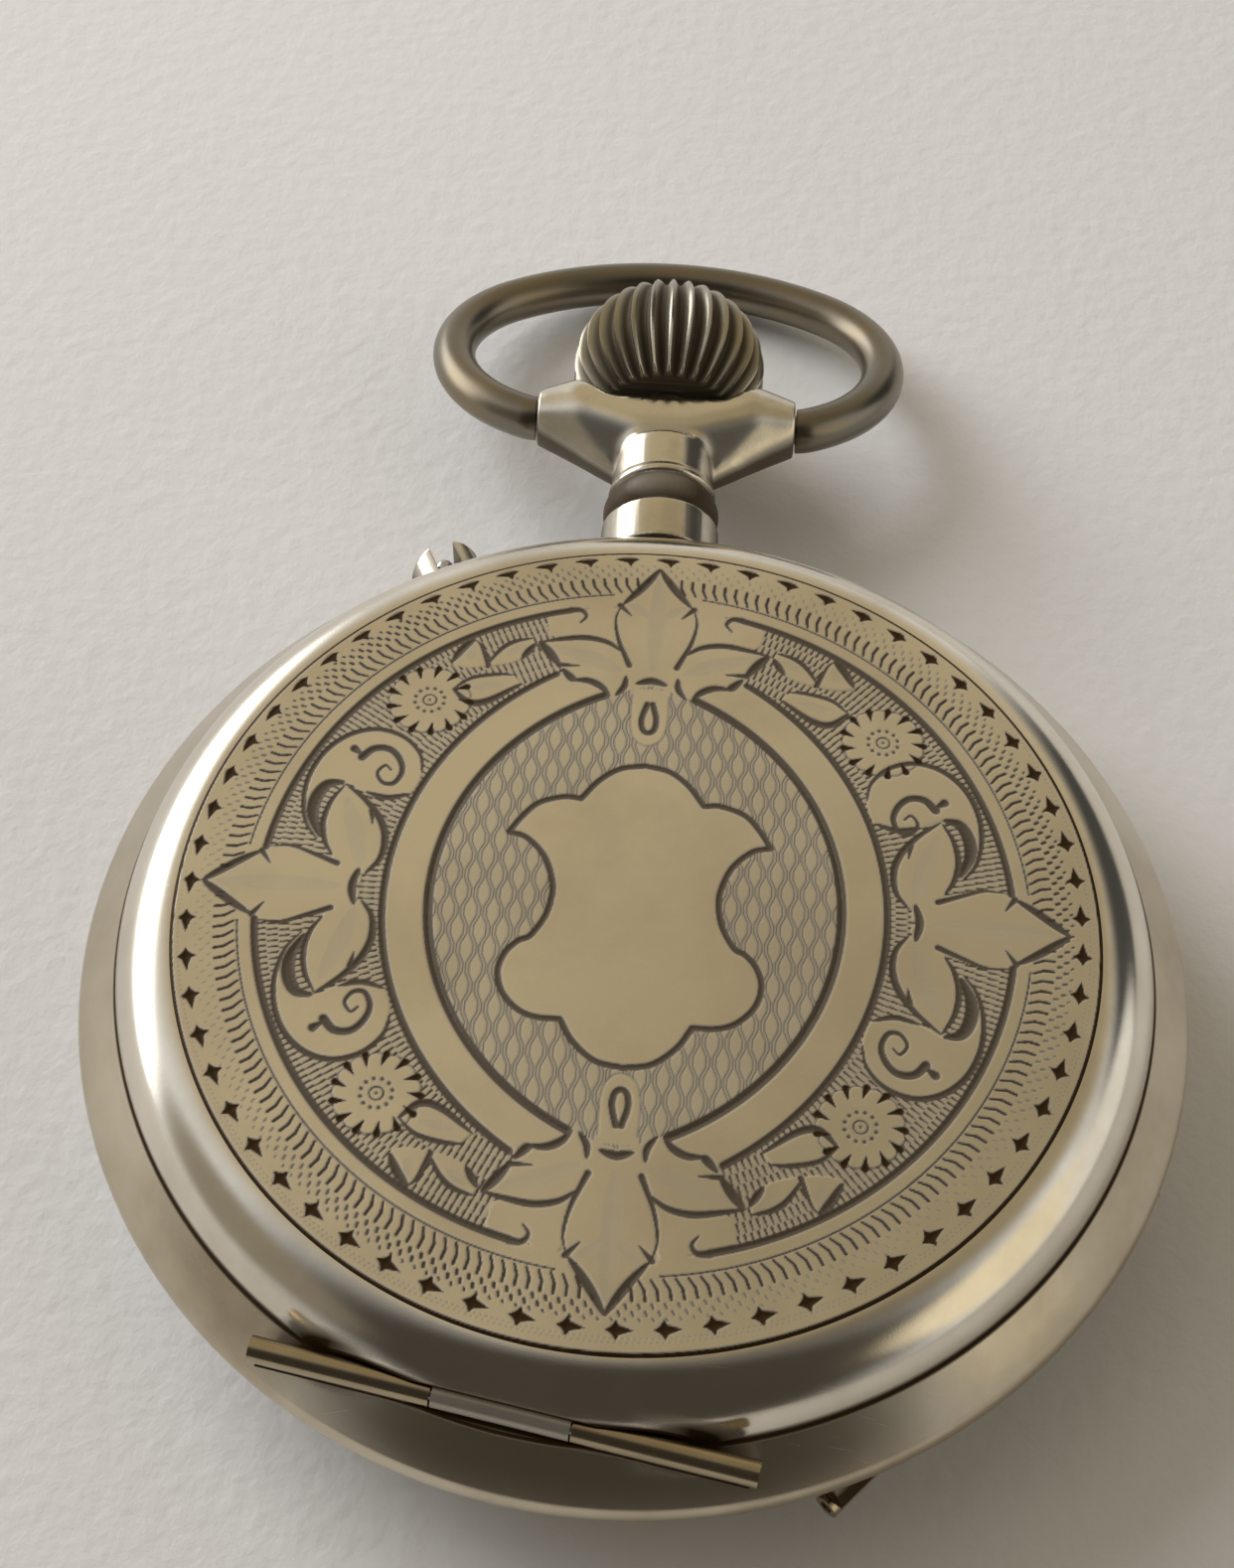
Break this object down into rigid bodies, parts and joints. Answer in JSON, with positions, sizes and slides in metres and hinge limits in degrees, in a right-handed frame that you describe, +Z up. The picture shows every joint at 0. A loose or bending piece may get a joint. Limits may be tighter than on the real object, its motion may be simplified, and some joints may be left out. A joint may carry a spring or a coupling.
{
  "type": "hunter pocket watch",
  "caption": "Silver hunter pocket watch with an engraved hinged front cover, fluted winding crown, oval bow, hinged back and dust covers, dial and jewelled lever movement.",
  "frame": {"origin": "centre of the flat on the back cover that the watch lies on", "axes": "+Z up through the front cover, +Y from the middle of the case to the pendant and crown, +X towards the small seconds"},
  "size_m": [0.05, 0.0744, 0.012],
  "materials": {
    "silver": "worn polish",
    "worn_silver": "tarnished",
    "steel": "polished",
    "blued_steel": "heat blued",
    "gilt_brass": "frosted gilt",
    "brass": "polished",
    "enamel": "gloss",
    "glass": "clear",
    "ruby": "polished"
  },
  "bodies": {
    "case": {"case_band": "silver", "pendant": "silver", "front_hinge_tubes": "silver", "front_hinge_pin": "steel", "back_hinge_tubes": "silver", "back_hinge_pin": "steel", "dust_hinge_tubes": "silver", "dust_hinge_pin": "steel", "bezel": "silver", "crystal": "glass", "setting_guard": "silver", "lift_spring": "steel", "dial": "enamel", "main_plate": "gilt_brass", "barrel_bridge": "gilt_brass", "train_bridge": "gilt_brass", "balance_cock": "gilt_brass", "pallet_cock": "gilt_brass", "click_spring": "steel", "jewels": "ruby", "bridge_screws": "blued_steel", "case_screws": "blued_steel"},
    "front_cover": {"front_cover": "silver"},
    "back_cover": {"back_cover": "silver"},
    "dust_cover": {"dust_cover": "silver"},
    "bow": {"bow": "worn_silver"},
    "push_sleeve": {"push_sleeve": "steel"},
    "crown": {"crown": "worn_silver", "winding_stem": "steel"},
    "winding_pinion": {"winding_pinion": "steel"},
    "crown_wheel": {"crown_wheel": "steel"},
    "ratchet": {"ratchet_wheel": "steel", "barrel_arbor": "steel"},
    "click": {"click": "steel"},
    "setting_pin": {"setting_pin": "steel"},
    "lock_spring": {"lock_spring": "steel"},
    "fourth": {"fourth_wheel": "brass", "seconds_hand": "blued_steel"},
    "third": {"third_wheel": "brass"},
    "centre": {"centre_wheel": "brass", "cannon_pinion": "steel", "minute_hand": "blued_steel"},
    "barrel": {"mainspring_barrel": "brass", "mainspring": "steel"},
    "escape": {"escape_wheel": "brass"},
    "minute_wheel": {"minute_wheel": "brass"},
    "hour": {"hour_wheel": "brass", "hour_hand": "blued_steel"},
    "pallet_fork": {"pallet_fork": "steel"},
    "balance": {"balance_wheel": "brass", "balance_staff": "steel", "hairspring": "blued_steel"},
    "regulator": {"regulator": "steel"}
  },
  "joints": [
    {"name": "front_cover_hinge", "type": "hinge", "parent": "case", "child": "front_cover", "pos_m": [-0.00426, -0.02189, 0.00915], "axis": [0.9816, -0.1908, 0], "range_deg": [0, 88]},
    {"name": "back_cover_hinge", "type": "hinge", "parent": "case", "child": "back_cover", "pos_m": [0.01631, -0.01521, 0.00285], "axis": [-0.682, -0.7314, 0], "range_deg": [0, 88]},
    {"name": "dust_cover_hinge", "type": "hinge", "parent": "case", "child": "dust_cover", "pos_m": [0.01514, -0.01412, 0.0029], "axis": [-0.682, -0.7314, 0], "range_deg": [0, 80]},
    {"name": "bow_pivot", "type": "hinge", "parent": "case", "child": "bow", "pos_m": [0, 0.03345, 0.006], "axis": [1, 0, 0], "range_deg": [-72, 117]},
    {"name": "crown_push", "type": "slide", "parent": "case", "child": "push_sleeve", "axis": [0, -1, 0], "range_m": [0, 0.0005], "stiffness_N_per_m": 400},
    {"name": "crown_turn", "type": "hinge", "parent": "push_sleeve", "child": "crown", "pos_m": [0, 0.036, 0.006], "axis": [0, 1, 0], "continuous": true},
    {"name": "winding_pinion_turn", "type": "hinge", "parent": "case", "child": "winding_pinion", "pos_m": [0, 0.0161, 0.006], "axis": [0, 1, 0], "continuous": true},
    {"name": "crown_wheel_turn", "type": "hinge", "parent": "case", "child": "crown_wheel", "pos_m": [0, 0.01254, 0.0037], "axis": [0, 0, 1], "continuous": true},
    {"name": "ratchet_turn", "type": "hinge", "parent": "case", "child": "ratchet", "pos_m": [-0.00679, 0.00679, 0.0037], "axis": [0, 0, 1], "continuous": true},
    {"name": "click_pivot", "type": "hinge", "parent": "case", "child": "click", "pos_m": [-0.01309, 0.00385, 0.0037], "axis": [0, 0, -1], "range_deg": [0, 12], "stiffness_Nm_per_rad": 0.0002},
    {"name": "setting_pin_push", "type": "slide", "parent": "case", "child": "setting_pin", "axis": [0.4226, -0.9063, 0], "range_m": [0, 0.0008], "stiffness_N_per_m": 200},
    {"name": "lock_spring_flex", "type": "hinge", "parent": "case", "child": "lock_spring", "pos_m": [-0.0096, 0.01845, 0.0045], "axis": [0, 0, -1], "range_deg": [0, 0.9]},
    {"name": "seconds_turn", "type": "hinge", "parent": "case", "child": "fourth", "pos_m": [0.0102, 0, 0.006], "axis": [0, 0, -1], "continuous": true},
    {"name": "third_turn", "type": "hinge", "parent": "case", "child": "third", "pos_m": [0.00584, 0.00339, 0.006], "axis": [0, 0, -1], "continuous": true},
    {"name": "centre_turn", "type": "hinge", "parent": "case", "child": "centre", "pos_m": [0, 0, 0.006], "axis": [0, 0, -1], "continuous": true},
    {"name": "barrel_turn", "type": "hinge", "parent": "case", "child": "barrel", "pos_m": [-0.00679, 0.00679, 0.006], "axis": [0, 0, -1], "continuous": true},
    {"name": "escape_turn", "type": "hinge", "parent": "case", "child": "escape", "pos_m": [0.0073, -0.00414, 0.0067], "axis": [0, 0, -1], "continuous": true},
    {"name": "minute_wheel_turn", "type": "hinge", "parent": "case", "child": "minute_wheel", "pos_m": [0.002, -0.00346, 0.0081], "axis": [0, 0, -1], "continuous": true},
    {"name": "hour_turn", "type": "hinge", "parent": "case", "child": "hour", "pos_m": [0, 0, 0.0084], "axis": [0, 0, -1], "continuous": true},
    {"name": "fork_rock", "type": "hinge", "parent": "case", "child": "pallet_fork", "pos_m": [0.00474, -0.00689, 0.0068], "axis": [0, 0, -1], "range_deg": [-4, 4]},
    {"name": "balance_swing", "type": "hinge", "parent": "case", "child": "balance", "pos_m": [0.0015, -0.01036, 0.006], "axis": [0, 0, -1], "range_deg": [-270, 270], "stiffness_Nm_per_rad": 0.000001},
    {"name": "regulator_turn", "type": "hinge", "parent": "case", "child": "regulator", "pos_m": [0.0015, -0.01036, 0.0039], "axis": [0, 0, -1], "range_deg": [-20, 20]}
  ],
  "couplings": [
    {"joint": "dust_cover_hinge", "follows": "back_cover_hinge", "ratio": 0.9},
    {"joint": "winding_pinion_turn", "follows": "crown_turn", "ratio": 1},
    {"joint": "crown_wheel_turn", "follows": "crown_turn", "ratio": 0.54054},
    {"joint": "ratchet_turn", "follows": "crown_turn", "ratio": -0.38462},
    {"joint": "lock_spring_flex", "follows": "crown_push", "rad_per_m": 29.671},
    {"joint": "third_turn", "follows": "seconds_turn", "ratio": -0.13333},
    {"joint": "centre_turn", "follows": "seconds_turn", "ratio": 0.016667},
    {"joint": "barrel_turn", "follows": "seconds_turn", "ratio": -0.002381},
    {"joint": "escape_turn", "follows": "seconds_turn", "ratio": -10},
    {"joint": "minute_wheel_turn", "follows": "seconds_turn", "ratio": -0.0055556},
    {"joint": "hour_turn", "follows": "seconds_turn", "ratio": 0.0013889}
  ]
}
